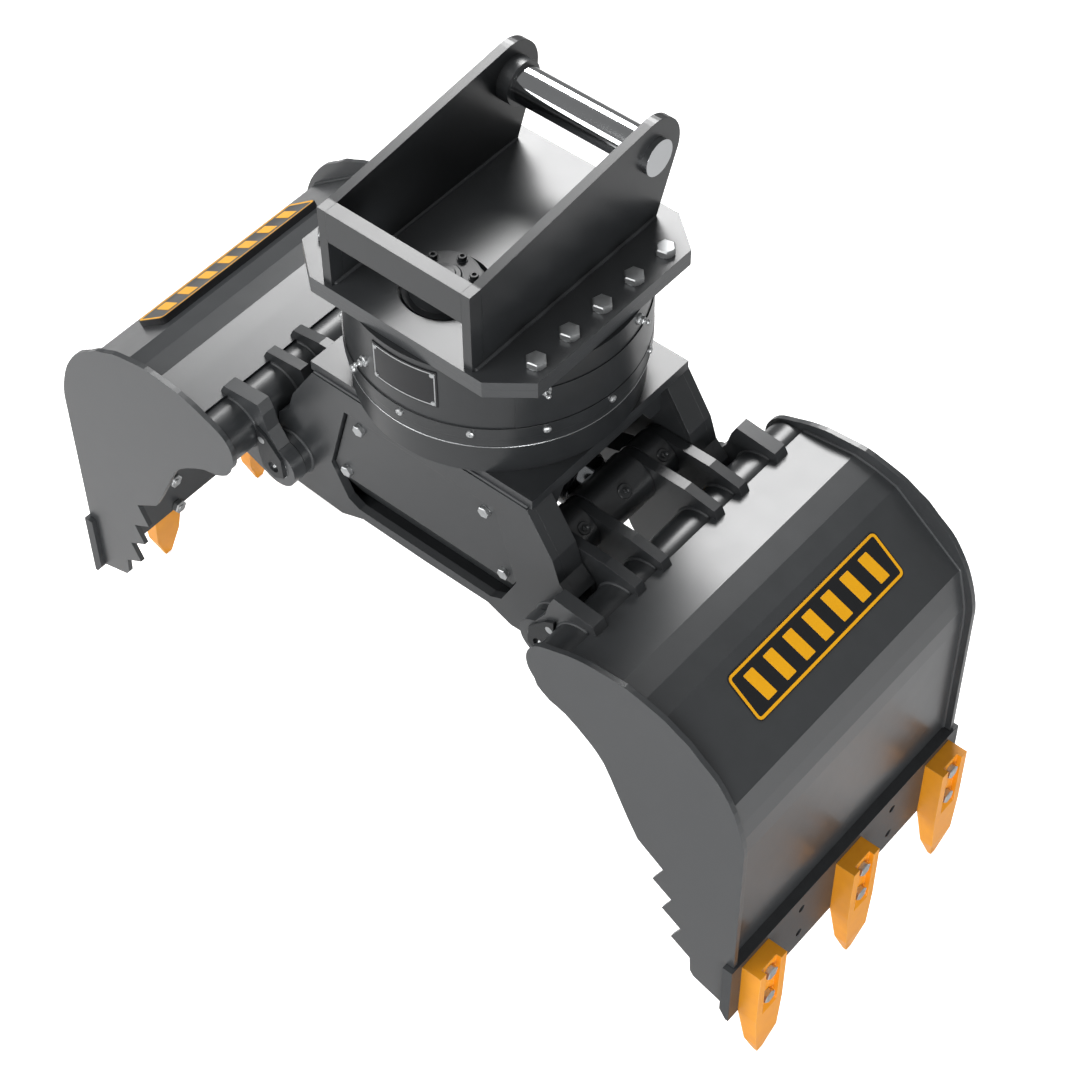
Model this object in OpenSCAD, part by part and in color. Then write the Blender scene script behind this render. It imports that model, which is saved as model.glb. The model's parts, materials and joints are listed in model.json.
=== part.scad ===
// Sorting grapple for an excavator: two clam shells under a slewing rotator and a pin-on bracket.
// +Z is up, +X runs from the left shell to the right shell, and Y runs along the shell pivots.
// The origin lies on the floor under the slewing axis, and the open grapple stands on its tooth tips.

/* [Shells] */
// Reach of the flat shell back from its pivot
shell_reach = 572; // [540:2:610]
// Drop of the blade lip below the pivot
lip_drop = 730; // [690:5:770]
// Rise of the shell crown above the pivot
crown_rise = 151; // [147:1:156]
// Width over the two side plates
shell_w = 800; // [720:10:1000]
// Thickness of a side plate
side_t = 12; // [8:1:16]
// Thickness of the bent back skin
skin_t = 14; // [8:1:16]
// Height that the side plates stand proud of the skin
side_lip_h = 19; // [14:1:24]
// Radius of the torsion tube that carries the ears and ribs
tube_r = 65; // [60:1:68]
// Wall of the torsion tube
tube_wall = 12; // [8:1:16]
// Distance of the torsion tube out from the pivot
tube_out = 108; // [106:1:114]
// Height of the torsion tube above the pivot
tube_up = 65; // [60:1:68]
// Angle that each shell closes
close_deg = 62; // [50:1:62]

/* [Cutting edge] */
// Thickness of the blade
blade_t = 25; // [16:1:32]
// Height of the blade
blade_h = 194; // [170:2:210]
// Overhang of the blade past each side plate
blade_over = 13; // [6:1:20]
// Width of a tooth
tooth_w = 92; // [76:2:104]
// Thickness of a tooth
tooth_t = 49; // [44:1:56]
// Reach of a tooth point below the blade lip
tooth_reach = 185; // [150:5:210]
// Pitch of the bolt pairs along the blade
tooth_pitch = 166; // [160:2:176]
// Diameter of a tooth bolt
tooth_bolt_d = 20; // [16:1:24]

/* [Pivots] */
// Distance of each shell pivot from the slewing axis
pivot_x = 372; // [364:1:392]
// Diameter of the shell pivot pins
pivot_pin_d = 70; // [60:1:74]
// Length of the lever from a pivot to the cylinder pin
lever_r = 136; // [130:1:140]
// Angle of that lever above the outward direction, in the open position
lever_deg = 124.5; // [120:0.5:128]
// Diameter of the cylinder and link pins
lever_pin_d = 60; // [50:1:64]
// Width of the cylinder eyes
eye_w = 148; // [136:2:160]
// Radius of the cylinder eyes
eye_r = 60; // [54:1:62]
// Thickness of a rib
rib_t = 25; // [20:1:30]
// Thickness of an ear
ear_t = 34.5; // [28:0.5:40]
// Width of a synchronising link
link_w = 55; // [48:1:60]
// Radial clearance of turning pins and bushes
fit = 0.05; // [0.02:0.01:0.08]

/* [Cylinder] */
// Outer radius of the cylinder barrel
barrel_r = 65; // [60:1:70]
// Bore radius of the cylinder barrel
bore_r = 50; // [44:1:52]
// Radius of the piston rod
rod_r = 35; // [30:1:38]

/* [Frame] */
// Rise of the frame top plate above the pivots
frame_rise = 296; // [284:2:320]
// Thickness of the top plate
top_plate_t = 24; // [16:1:30]
// Length of the top plate
top_plate_l = 596; // [584:2:616]
// Width of each arm box across its two plates
arm_w = 72; // [64:1:84]
// Thickness of the outer arm plates
arm_plate_t = 20; // [16:1:24]
// Thickness of the inner arm plates and strips
arm_inner_t = 12; // [10:1:14]
// Outer radius of the pivot tubes in the arms
hub_r = 55; // [52:1:57]

/* [Rotator] */
// Radius of the ring that is welded to the frame
ring_r = 303; // [296:1:306]
// Height of that ring
ring_h = 76; // [70:1:90]
// Outer radius of the slewing bearing
race_r = 310; // [308:1:314]
// Radius of the rotator housing
housing_r = 312; // [312:1:316]
// Height of the rotator housing
housing_h = 182; // [170:2:210]
// Pitch radius of the drive pinion
pinion_r = 50; // [48:1:52]
// Ratio of the ring gear to the pinion
gear_ratio = 4; // [4]
// Number of teeth on the drive pinion
pinion_teeth = 16; // [14:1:18]

/* [Bracket] */
// Length of the bracket plates along the cheeks
base_l = 596; // [580:2:620]
// Width of the bracket plates across the cheeks
base_w = 606; // [596:2:640]
// Thickness of each of the two bolted plates
base_t = 20; // [16:1:25]
// Clear width between the cheeks
cheek_gap = 338; // [300:2:360]
// Thickness of a cheek
cheek_t = 21.4; // [16:0.2:26]
// Height of the cheek fronts
cheek_h = 194; // [180:2:210]
// Diameter of the coupler pin
coupler_pin_d = 80; // [60:1:90]
// Height of the coupler pin above the base plate
coupler_up = 168; // [160:1:180]
// Distance of the coupler pin behind the slewing axis
coupler_back = 250; // [230:2:260]
// Radius of the cheek ears round the coupler pin
coupler_ear_r = 80; // [70:1:84]

/* [Hidden] */
$fn = 48;

paint_colour = "#4a4c4d";
dark_colour = "#2e3031";
tooth_colour = "#ffa81e";
steel_colour = "#b9bcbf";
zinc_colour = "#c9cccf";
brass_colour = "#b08d4a";

// Overrun of a cut past the face that it opens
over = 2;
// Gap between curved faces that are welded or seated on each other
seat_gap = 0.3;
// Gap between two plates that swing past each other
side_gap = 1;
arm_gap = 2;

// Levels above the floor
pivot_z = lip_drop + tooth_reach;
top_plate_z = pivot_z + frame_rise;
ring_z = top_plate_z + top_plate_t;
gear_z = ring_z + ring_h;
race_gap = 3;
race_z = gear_z + race_gap;
race_h = 28;
housing_z = race_z + race_h;
rotator_top_z = housing_z + housing_h;
base_z = rotator_top_z + base_t;
cheek_z = base_z + base_t;

// Stations along the pivots, from the middle outwards
rib_in_y = eye_w / 2 + side_gap;
link_in_y = rib_in_y + rib_t + side_gap;
rib_out_y = link_in_y + link_w + side_gap;
rib_end_y = rib_out_y + rib_t;
arm_in_y = rib_end_y + arm_gap;
arm_out_y = arm_in_y + arm_w;
hub_past = 21;
hub_end_y = arm_out_y + hub_past;
ear_in_y = hub_end_y + arm_gap;
ear_end_y = ear_in_y + ear_t;

// Places in the shell's own frame, with the pivot at the origin and the shell to the right
tube_at = [tube_out, tube_up];
lever_at = lever_r * [cos(lever_deg), sin(lever_deg)];
lever_pin_r = lever_pin_d / 2;
pivot_pin_r = pivot_pin_d / 2;

// Plan offset of an open outline to its left by d at each point, with mitred corners
function unit(v) = v / norm(v);
function left_of(v) = [-v.y, v.x];
function mitre(points, d) = [for (i = [0 : len(points) - 1])
    let (a = left_of(unit(points[max(i, 1)] - points[max(i, 1) - 1])),
         j = min(i, len(points) - 2),
         b = left_of(unit(points[j + 1] - points[j])),
         s = is_list(d) ? d[i] : d)
    points[i] + s * (a + b) / (1 + a * b)];
function backwards(points) = [for (i = [len(points) - 1 : -1 : 0]) points[i]];
function mirrored(points) = [for (p = backwards(points)) [-p.x, p.y]];
function rotated(p, deg) = [p.x * cos(deg) - p.y * sin(deg), p.x * sin(deg) + p.y * cos(deg)];
function sized(shares, w, h) = [for (p = shares) [p.x * w, p.y * h]];
// Smooth curve through chosen points, n steps for each stretch
function curve_at(a, b, c, d, t) = b + t * (c - a) / 2 + t * t * (a - 2.5 * b + 2 * c - d / 2)
    + t * t * t * (b * 1.5 - a / 2 - c * 1.5 + d / 2);
function smooth(points, n) = let (last = len(points) - 1) concat(
    [for (i = [0 : last - 1], k = [0 : n - 1])
        curve_at(points[max(i - 1, 0)], points[i], points[i + 1], points[min(i + 2, last)], k / n)],
    [points[last]]);

// Plate drawn in X and Z, standing across Y
module xz_plate(y_mid, thick) {
    translate([0, y_mid + thick / 2, 0]) rotate([90, 0, 0]) linear_extrude(thick) children();
}
// Plate drawn in Y and Z, standing across X
module yz_plate(x_mid, thick) {
    translate([x_mid - thick / 2, 0, 0]) rotate([90, 0, 90]) linear_extrude(thick) children();
}
// Round bar along Y, centred on a point of the XZ plane
module y_bar(at, r, y_mid, len) {
    translate([at.x, y_mid, at.y]) rotate([90, 0, 0]) cylinder(h = len, r = r, center = true);
}
module both_sides() {
    children();
    mirror([0, 1, 0]) children();
}
module all_corners() {
    both_sides() {
        children();
        mirror([1, 0, 0]) children();
    }
}
// Hexagon bolt standing on z = 0 with its washer, head up, and its shank below
module hex_bolt(d, shank) {
    head_r = d * 0.92;
    head_h = d * 0.62;
    washer_h = d * 0.15;
    cylinder(h = washer_h, r = d);
    translate([0, 0, washer_h]) cylinder(h = head_h, r = head_r, $fn = 6);
    translate([0, 0, -shank]) cylinder(h = shank, r = d / 2 - seat_gap);
}

// Bracket
pin_at = [coupler_back, coupler_up];
cheek_mid_x = cheek_gap / 2 + cheek_t / 2;
base_corner_x_share = 0.726;
base_corner_y_share = 0.778;
motor_hole_r = 93;
motor_y = -pinion_r * (gear_ratio - 1);
bolt_d = 24;
bolt_rows = 5;
bolt_pitch = 97.5;
bolt_row_x = (cheek_gap / 2 + cheek_t + base_w / 2) / 2 + bolt_d * 0.88;

module base_outline() {
    x = base_w / 2;
    y = base_l / 2;
    cx = x * base_corner_x_share;
    cy = y * base_corner_y_share;
    polygon([[x, -cy], [x, cy], [cx, y], [-cx, y], [-x, cy], [-x, -cy], [-cx, -y], [cx, -y]]);
}
module at_adapter_bolts() {
    for (side = [-1, 1], k = [0 : bolt_rows - 1])
        translate([side * bolt_row_x, (k - (bolt_rows - 1) / 2) * bolt_pitch, 0]) children();
}
module adapter_base_plate() {
    color(paint_colour) translate([0, 0, base_z]) linear_extrude(base_t) difference() {
        base_outline();
        translate([0, motor_y]) circle(motor_hole_r);
        at_adapter_bolts() circle(bolt_d / 2);
    }
}
module rotator_top_plate() {
    color(paint_colour) translate([0, 0, rotator_top_z]) linear_extrude(base_t) difference() {
        base_outline();
        translate([0, motor_y]) circle(motor_body_r + seat_gap);
        at_adapter_bolts() circle(bolt_d / 2);
    }
}
module adapter_bolts() {
    color(zinc_colour) at_adapter_bolts() {
        translate([0, 0, cheek_z]) hex_bolt(bolt_d, 2 * base_t);
    }
}

// The cheek's land at the front, and its rear foot, as distances along Y
cheek_set_back = 9;
cheek_front_y = base_l / 2 - cheek_set_back;
cheek_land = 33;
cheek_foot_past = 14;
cheek_foot_y = coupler_back + cheek_foot_past;
module cheek_outline() {
    front = -cheek_front_y;
    difference() {
        union() {
            polygon([[front, 0], [front, cheek_h], [front + cheek_land, cheek_h],
                [front + cheek_land, 0]]);
            hull() {
                polygon([[front + cheek_land - over, 0], [front + cheek_land - over, cheek_h],
                    [cheek_foot_y, 0]]);
                translate(pin_at) circle(coupler_ear_r);
            }
        }
        translate(pin_at) circle(coupler_pin_d / 2 + fit);
    }
}
module cheek(side) {
    color(paint_colour) translate([0, 0, cheek_z]) yz_plate(side * cheek_mid_x, cheek_t) cheek_outline();
}
module left_cheek() { cheek(-1); }
module right_cheek() { cheek(1); }

bar_h = 78;
module front_cross_bar() {
    color(paint_colour) translate([-cheek_gap / 2, -cheek_front_y, cheek_z + cheek_h - bar_h])
        cube([cheek_gap, cheek_land, bar_h]);
}

pin_proud = 13;
collar_w = 30;
collar_wall = 10;
collar_r = coupler_pin_d / 2 + collar_wall;
module coupler_pin() {
    reach = cheek_gap / 2 + cheek_t + pin_proud;
    at = [0, coupler_back, cheek_z + coupler_up];
    color(steel_colour) translate(at) rotate([0, 90, 0])
        cylinder(h = 2 * reach, r = coupler_pin_d / 2, center = true, $fn = 96);
    color(paint_colour) translate(at - [cheek_gap / 2, 0, 0]) rotate([0, 90, 0]) difference() {
        cylinder(h = collar_w, r = collar_r, $fn = 96);
        translate([0, 0, -over]) cylinder(h = collar_w + 2 * over, r = coupler_pin_d / 2 + fit, $fn = 96);
    }
}

// Rotator
motor_body_r = 60;
motor_flange_r = 72;
motor_foot_r = 86;
motor_flange_h = 30;
motor_rise = 46;
motor_drop = 92;
motor_bolt_r = 57;
motor_bolt_d = 12;
motor_bolts_n = 6;
motor_bolt_deg = 35;
shaft_r = 20;
pinion_h = 46;
pinion_lift = 6;
pinion_z = gear_z + pinion_lift;
module at_motor() { translate([0, motor_y, 0]) children(); }
module slew_motor() {
    flange_z = base_z + motor_rise - motor_flange_h;
    color(dark_colour) at_motor() {
        difference() {
            union() {
                translate([0, 0, rotator_top_z - motor_drop])
                    cylinder(h = motor_drop + base_t + motor_rise, r = motor_body_r);
                translate([0, 0, flange_z]) cylinder(h = motor_flange_h, r = motor_flange_r);
                translate([0, 0, base_z]) cylinder(h = motor_rise - motor_flange_h, r = motor_foot_r);
            }
            at_motor_bolts() translate([0, 0, base_z + motor_rise - motor_bolt_d * 2])
                cylinder(h = motor_bolt_d * 2 + over, r = motor_bolt_d / 2);
            translate([0, 0, rotator_top_z - motor_drop - over])
                cylinder(h = shaft_socket + over, r = shaft_r + fit);
        }
    }
}
shaft_socket = 40;
module at_motor_bolts() {
    for (k = [0 : motor_bolts_n - 1]) rotate([0, 0, motor_bolt_deg + k * 360 / motor_bolts_n])
        translate([motor_bolt_r, 0, 0]) children();
}
module slew_motor_bolts() {
    color(dark_colour) at_motor() at_motor_bolts() translate([0, 0, base_z + motor_rise])
        hex_bolt(motor_bolt_d, motor_bolt_d * 2);
}

gear_module = 2 * pinion_r / pinion_teeth;
// Half widths at root and tip, as shares of the pitch, of a pinion tooth and of the space for it
pinion_half_shares = [0.19, 0.09];
space_half_shares = [0.33, 0.2];
// Gear outline: teeth with straight flanks, pointing outwards from root to tip
function gear_points(n, r_root, r_tip, half) = [for (k = [0 : n - 1],
    q = [[-half[0], r_root], [-half[1], r_tip], [half[1], r_tip], [half[0], r_root]])
    q.y * [cos(360 / n * (k + q.x)), sin(360 / n * (k + q.x))]];
module drive_pinion() {
    root_r = pinion_r - gear_module * 1.2;
    tip_r = pinion_r + gear_module * 0.9;
    shaft_top = rotator_top_z - motor_drop + shaft_socket - over;
    color(steel_colour) at_motor() {
        translate([0, 0, pinion_z]) linear_extrude(pinion_h)
            polygon(gear_points(pinion_teeth, root_r, tip_r, pinion_half_shares));
        translate([0, 0, pinion_z]) cylinder(h = shaft_top - pinion_z, r = shaft_r);
    }
}
race_split_r = 262;
ball_r = 11;
balls_n = 40;
ball_z = race_z + race_h;
module slew_ring_gear() {
    n = pinion_teeth * gear_ratio;
    gear_r = pinion_r * gear_ratio;
    tip_r = gear_r - gear_module * 0.9;
    root_r = gear_r + gear_module * 1.2;
    color(steel_colour) difference() {
        translate([0, 0, gear_z])
            cylinder(h = 2 * (ball_z - gear_z), r = race_split_r - race_gap / 2, $fn = 96);
        translate([0, 0, gear_z - over]) linear_extrude(2 * (ball_z - gear_z) + 2 * over)
            polygon(gear_points(n, tip_r, root_r, space_half_shares));
        ball_groove();
    }
}
module ball_groove() {
    translate([0, 0, ball_z]) rotate_extrude($fn = 96)
        translate([race_split_r, 0]) circle(ball_r + 2 * seat_gap);
}
housing_wall = 22;
race_spigot_r = housing_r - housing_wall;
module bearing_outer_race() {
    color(dark_colour) difference() {
        union() {
            translate([0, 0, race_z]) cylinder(h = race_h, r = race_r, $fn = 96);
            translate([0, 0, race_z]) cylinder(h = 2 * race_h, r = race_spigot_r - seat_gap, $fn = 96);
        }
        translate([0, 0, race_z - over])
            cylinder(h = 2 * (race_h + over), r = race_split_r + race_gap / 2, $fn = 96);
        ball_groove();
    }
}
module bearing_balls() {
    color(steel_colour) for (k = [0 : balls_n - 1]) rotate([0, 0, k * 360 / balls_n])
        translate([race_split_r, 0, ball_z]) sphere(ball_r, $fn = 24);
}

skirt_h = 30;
skirt_proud = 3;
screw_d = 10;
screws_n = 13;
screw_first_deg = -87;
module rotator_housing() {
    inner_r = housing_r - housing_wall;
    color(paint_colour) translate([0, 0, housing_z]) difference() {
        union() {
            cylinder(h = housing_h, r = housing_r, $fn = 96);
            cylinder(h = skirt_h, r = housing_r + skirt_proud, $fn = 96);
        }
        translate([0, 0, -over]) cylinder(h = housing_h + 2 * over, r = inner_r, $fn = 96);
        at_housing_screws() cylinder(h = housing_wall, r = screw_d / 2, center = true);
    }
}
// Radial places round the housing, each with its own Z axis pointing out of the wall
module at_housing_screws() {
    for (k = [0 : screws_n - 1]) rotate([0, 0, screw_first_deg + k * 360 / screws_n])
        translate([housing_r + skirt_proud, 0, skirt_h / 2]) rotate([0, 90, 0]) children();
}
module housing_screws() {
    color(zinc_colour) translate([0, 0, housing_z]) at_housing_screws() {
        cylinder(h = screw_d * 0.5, r = screw_d * 0.8, $fn = 6);
        translate([0, 0, -housing_wall / 2]) cylinder(h = housing_wall / 2, r = screw_d / 2 - seat_gap);
    }
}
wrap_t = 2;
wrap_h = 96;
wrap_up = 20;
wrap_from_deg = -43;
wrap_to_deg = 130;
module sleeve_part(r, t, h, from, to) {
    rotate([0, 0, from]) rotate_extrude(angle = to - from, $fn = 96) translate([r, 0]) square([t, h]);
}
module housing_wrap_cover() {
    color(paint_colour) translate([0, 0, housing_z + skirt_h + over])
        sleeve_part(housing_r + seat_gap, wrap_t, wrap_h, wrap_from_deg, wrap_to_deg);
}
plate_h = 97;
plate_deg = 28.5;
plate_mid_deg = -85;
plate_up = 70;
rivet_r = 5;
module type_plate() {
    color(dark_colour) translate([0, 0, housing_z + plate_up])
        sleeve_part(housing_r + seat_gap, wrap_t, plate_h, plate_mid_deg - plate_deg / 2,
            plate_mid_deg + plate_deg / 2);
    color(steel_colour) translate([0, 0, housing_z + plate_up])
        for (side = [-1, 1], z = [0.1, 0.9])
            rotate([0, 0, plate_mid_deg + side * plate_deg * 0.44])
                translate([housing_r + seat_gap + wrap_t, 0, plate_h * z]) rotate([0, 90, 0])
                    cylinder(h = wrap_t, r = rivet_r);
}

union_core_r = 50;
union_sleeve_r = 82;
union_flange_r = 110;
union_drop = 50;
union_rise = 60;
module rotary_union_core() {
    bottom = top_plate_z - union_drop;
    color(steel_colour) translate([0, 0, bottom])
        cylinder(h = rotator_top_z - bottom, r = union_core_r - fit);
}
module rotary_union_sleeve() {
    bottom = top_plate_z - union_drop;
    color(dark_colour) difference() {
        union() {
            translate([0, 0, bottom])
                cylinder(h = ring_z + union_rise - bottom, r = union_sleeve_r - seat_gap);
            translate([0, 0, ring_z]) cylinder(h = arm_inner_t, r = union_flange_r);
        }
        translate([0, 0, bottom - over]) cylinder(h = ring_z + union_rise, r = union_core_r);
    }
}

// Frame
module frame_ring() {
    inner_r = pinion_r * gear_ratio + gear_module * 3;
    color(paint_colour) translate([0, 0, ring_z]) difference() {
        cylinder(h = ring_h, r = ring_r, $fn = 96);
        translate([0, 0, -over]) cylinder(h = ring_h + 2 * over, r = inner_r, $fn = 96);
    }
}
top_plate_inset = 8;
module frame_top_plate() {
    w = 2 * (arm_out_y - top_plate_inset);
    color(paint_colour) translate([-top_plate_l / 2, -w / 2, top_plate_z]) difference() {
        cube([top_plate_l, w, top_plate_t]);
        translate([top_plate_l / 2, w / 2, -over]) cylinder(h = top_plate_t + 2 * over, r = union_sleeve_r);
    }
}

// Outer edge of one arm from the top plate down to the hub, and its lower edge back to the middle
arm_edge_shares = [[0.957, 0.635], [1.005, 0.443], [1.094, 0.321]];
arm_low_shares = [[1.065, -0.29], [0.99, -0.345], [0.645, -0.375], [0.476, -0.287], [0, -0.297]];
arm_top = [top_plate_l / 2 - top_plate_inset, frame_rise];
arm_edge = concat([arm_top], sized(arm_edge_shares, pivot_x, frame_rise));
arm_low = sized(arm_low_shares, pivot_x, frame_rise);
hub_meet_deg = 40;
module frame_outline() {
    half = concat([[0, frame_rise]], arm_edge,
        [[pivot_x, 0] + hub_r * [cos(hub_meet_deg), sin(hub_meet_deg)], [pivot_x, 0]], arm_low);
    difference() {
        polygon(concat(half, mirrored(half)));
        for (side = [-1, 1]) translate([side * pivot_x, 0]) circle(hub_r + seat_gap);
    }
}
// Recessed window in the outer arm plates, closed by a bolted cover
window_shares = [[0.551, 0.797], [0.694, 0.142], [0.581, -0.145], [0.497, -0.2]];
window_points = sized(window_shares, pivot_x, frame_rise);
cover_fit_share = 0.985;
cover_low_share = 0.05;
cover_t = 10;
cover_bolt_d = 16;
cover_bolt_shares = [[0.462, 0.67], [0.589, 0.128]];
cover_bolts_at = sized(cover_bolt_shares, pivot_x, frame_rise);
tab_r = 34;
// Each tab runs outwards until it stands on the arm plate beside the window
tab_reach_share = 1.25;
module window_outline() { polygon(concat(window_points, mirrored(window_points))); }
module at_cover_bolts() {
    for (side = [-1, 1], p = cover_bolts_at) translate([side * p.x, p.y]) children();
}
module frame_side() {
    color(paint_colour) translate([0, 0, pivot_z]) {
        xz_plate(-arm_out_y + arm_plate_t / 2, arm_plate_t) difference() {
            frame_outline();
            window_outline();
        }
        xz_plate(-arm_out_y + arm_plate_t + cover_t / 2, cover_t) difference() {
            intersection() {
                frame_outline();
                for (side = [-1, 1], p = cover_bolts_at) hull() {
                    translate([side * p.x, p.y]) circle(tab_r, $fn = 24);
                    translate([side * p.x, p.y] * tab_reach_share) circle(tab_r, $fn = 24);
                }
                translate([-pivot_x, frame_rise * cover_low_share + side_gap]) square(2 * pivot_x);
            }
            at_cover_bolts() circle(cover_bolt_d / 2);
        }
    }
}
module front_frame_side() { frame_side(); }
module rear_frame_side() { mirror([0, 1, 0]) frame_side(); }

module strip(points, thick) { polygon(concat(points, backwards(mitre(points, -thick)))); }
module arm_strips() {
    for (side = [0, 1]) mirror([side, 0]) strip(arm_edge, arm_inner_t);
}
module low_strips() {
    half = [for (k = [1 : len(arm_low) - 1]) arm_low[k]];
    for (side = [0, 1]) mirror([side, 0]) strip(half, arm_inner_t);
}
module arm_inner_plates() {
    color(paint_colour) translate([0, 0, pivot_z]) both_sides()
        xz_plate(-arm_in_y - arm_inner_t / 2, arm_inner_t) difference() {
            frame_outline();
            arm_strips();
        }
}
module arm_end_strips() {
    w = arm_w - arm_plate_t;
    color(paint_colour) translate([0, 0, pivot_z]) both_sides()
        xz_plate(-arm_in_y - w / 2, w) arm_strips();
}
module frame_bottom_strips() {
    w = arm_w - arm_plate_t - arm_inner_t;
    color(paint_colour) translate([0, 0, pivot_z]) both_sides()
        xz_plate(-arm_in_y - arm_inner_t - w / 2, w) low_strips();
}
end_plate_h = 48;
end_leg_h = 86;
end_leg_share = 0.69;
end_slope_share = 0.82;
module frame_end_plates() {
    y = arm_in_y;
    half = [[0, -end_plate_h], [y * end_leg_share, -end_plate_h], [y * end_slope_share, -end_leg_h],
        [y, -end_leg_h], [y, 0]];
    x = arm_top.x - arm_inner_t * 1.5;
    color(paint_colour) translate([0, 0, top_plate_z]) for (side = [-1, 1])
        yz_plate(side * x, arm_inner_t) polygon(concat(half, mirrored(half)));
}
bush_wall = 6;
module frame_pivot_tubes() {
    len = hub_end_y - arm_in_y;
    color(paint_colour) translate([0, 0, pivot_z]) all_corners() difference() {
        y_bar([pivot_x, 0], hub_r, arm_in_y + len / 2, len);
        y_bar([pivot_x, 0], pivot_pin_r + bush_wall, arm_in_y + len / 2, len + 2 * over);
    }
}
module pivot_bushes() {
    len = hub_end_y - arm_in_y;
    color(brass_colour) translate([0, 0, pivot_z]) all_corners() difference() {
        y_bar([pivot_x, 0], pivot_pin_r + bush_wall - fit, arm_in_y + len / 2, len);
        y_bar([pivot_x, 0], pivot_pin_r + fit, arm_in_y + len / 2, len + 2 * over);
    }
}
// Cover with its lower edge bent inwards to the bottom strip
cover_bend = 26;
module cover() {
    low = frame_rise * cover_low_share;
    y = -arm_out_y + arm_plate_t;
    foot = frame_rise * window_shares[3].y + arm_inner_t;
    color(paint_colour) translate([0, 0, pivot_z]) difference() {
        intersection() {
            translate([-pivot_x, 0, 0]) rotate([90, 0, 90]) linear_extrude(2 * pivot_x) polygon([
                [y - cover_t, frame_rise], [y, frame_rise], [y, low], [y + cover_bend, foot],
                [y + cover_bend - cover_t, foot], [y - cover_t, low]]);
            xz_plate(y, 2 * arm_w) scale_window();
        }
        xz_plate(y, 2 * arm_w) at_cover_bolts() circle(cover_bolt_d / 2);
    }
}
module scale_window() {
    points = [for (p = window_points) p * cover_fit_share];
    polygon(concat(points, mirrored(points)));
}
module front_cover() { cover(); }
module rear_cover() { mirror([0, 1, 0]) cover(); }
module cover_bolts() {
    color(zinc_colour) translate([0, 0, pivot_z]) both_sides()
        translate([0, -arm_out_y + arm_plate_t - cover_t, 0]) rotate([90, 0, 0]) at_cover_bolts()
            hex_bolt(cover_bolt_d, 2 * cover_t);
}

// Shell, drawn to the right of its pivot
crown_shares = [[0.227, 0.878], [0.366, 0.954], [0.456, 1], [0.556, 0.954], [0.646, 0.862]];
back_shares = [[0.952, -0.006], [0.979, -0.09], [0.995, -0.147], [1, -0.22], [1, -0.945]];
skin_points = concat(sized(crown_shares, shell_reach, crown_rise),
    sized(back_shares, shell_reach, lip_drop));
// Outer edge of a side plate, over the crown and down to the blade
lip_crown_shares = [[0.184, 0.847], [0.242, 0.929], [0.311, 0.994], [0.359, 1.012], [0.418, 1.029],
    [0.481, 1.041], [0.543, 1.006], [0.601, 0.962], [0.653, 0.912], [0.709, 0.812], [0.75, 0.747],
    [0.797, 0.612], [0.858, 0.459], [0.9, 0.282], [0.945, 0.018]];
lip_back_shares = [[0.977, -0.066], [0.995, -0.126], [1, -0.164], [1, -0.945]];
lip_points = concat(sized(lip_crown_shares, shell_reach + side_lip_h, crown_rise + side_lip_h),
    sized(lip_back_shares, shell_reach + side_lip_h, lip_drop));
blade_top = -lip_drop + blade_h;
blade_bevel = 28;
// Inner edge of a side plate: hub side, waist, and the first tip of the saw teeth
waist_shares = [[0.11, -0.007], [0.166, -0.038], [0.24, -0.054], [0.344, -0.107], [0.414, -0.163],
    [0.474, -0.258], [0.526, -0.344], [0.575, -0.416]];
saw_first_shares = [0.696, -0.484];
saw_start_shares = [0.649, -0.562];
saw_step_shares = [0.048, -0.1165];
saw_notch_shares = [0.091, -0.045];
saw_n = 3;
foot_shares = [[0.841, -0.905], [0.858, -0.925]];
function saw_points() = let (s = [shell_reach, lip_drop]) [for (k = [0 : saw_n - 1], q = [0, 1])
    let (p = saw_start_shares + k * saw_step_shares + q * saw_notch_shares) [p.x * s.x, p.y * s.y]];
hub_plate_r = tube_r * 1.13;
module side_outline() {
    top = len(lip_points) - 2;
    hub = [for (deg = [225 : -21 : 120]) tube_at + hub_plate_r * [cos(deg), sin(deg)]];
    outer = smooth(concat(hub, [for (k = [0 : top]) lip_points[k]]), 2);
    shoulder = [[lip_points[top].x, blade_top + over], [shell_reach, blade_top + over],
        [shell_reach, -lip_drop + blade_bevel]];
    inner = concat(smooth(sized(waist_shares, shell_reach, lip_drop), 2),
        sized([saw_first_shares], shell_reach, lip_drop), saw_points(),
        sized(foot_shares, shell_reach, lip_drop));
    polygon(concat(outer, shoulder, backwards(inner)));
}
module skin_outline() {
    inner = mitre(skin_points, -skin_t);
    difference() {
        polygon(concat(skin_points, backwards(inner)));
        translate(tube_at) circle(tube_r + seat_gap, $fn = 96);
    }
}
module in_shell(side) {
    if (side > 0) translate([pivot_x, 0, pivot_z]) children();
    else translate([-pivot_x, 0, pivot_z]) mirror([1, 0, 0]) children();
}
module side_plates(side) {
    color(paint_colour) in_shell(side) both_sides()
        xz_plate(-shell_w / 2 + side_t / 2, side_t) side_outline();
}
module back_skin(side) {
    w = shell_w - 2 * side_t;
    color(paint_colour) in_shell(side) difference() {
        xz_plate(0, w) skin_outline();
        at_blade_bolts() cylinder(h = 4 * blade_t, r = tooth_bolt_d / 2, center = true);
    }
}
bolt_up_shares = [0.253, 0.747];
bolt_pairs = 5;
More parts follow.
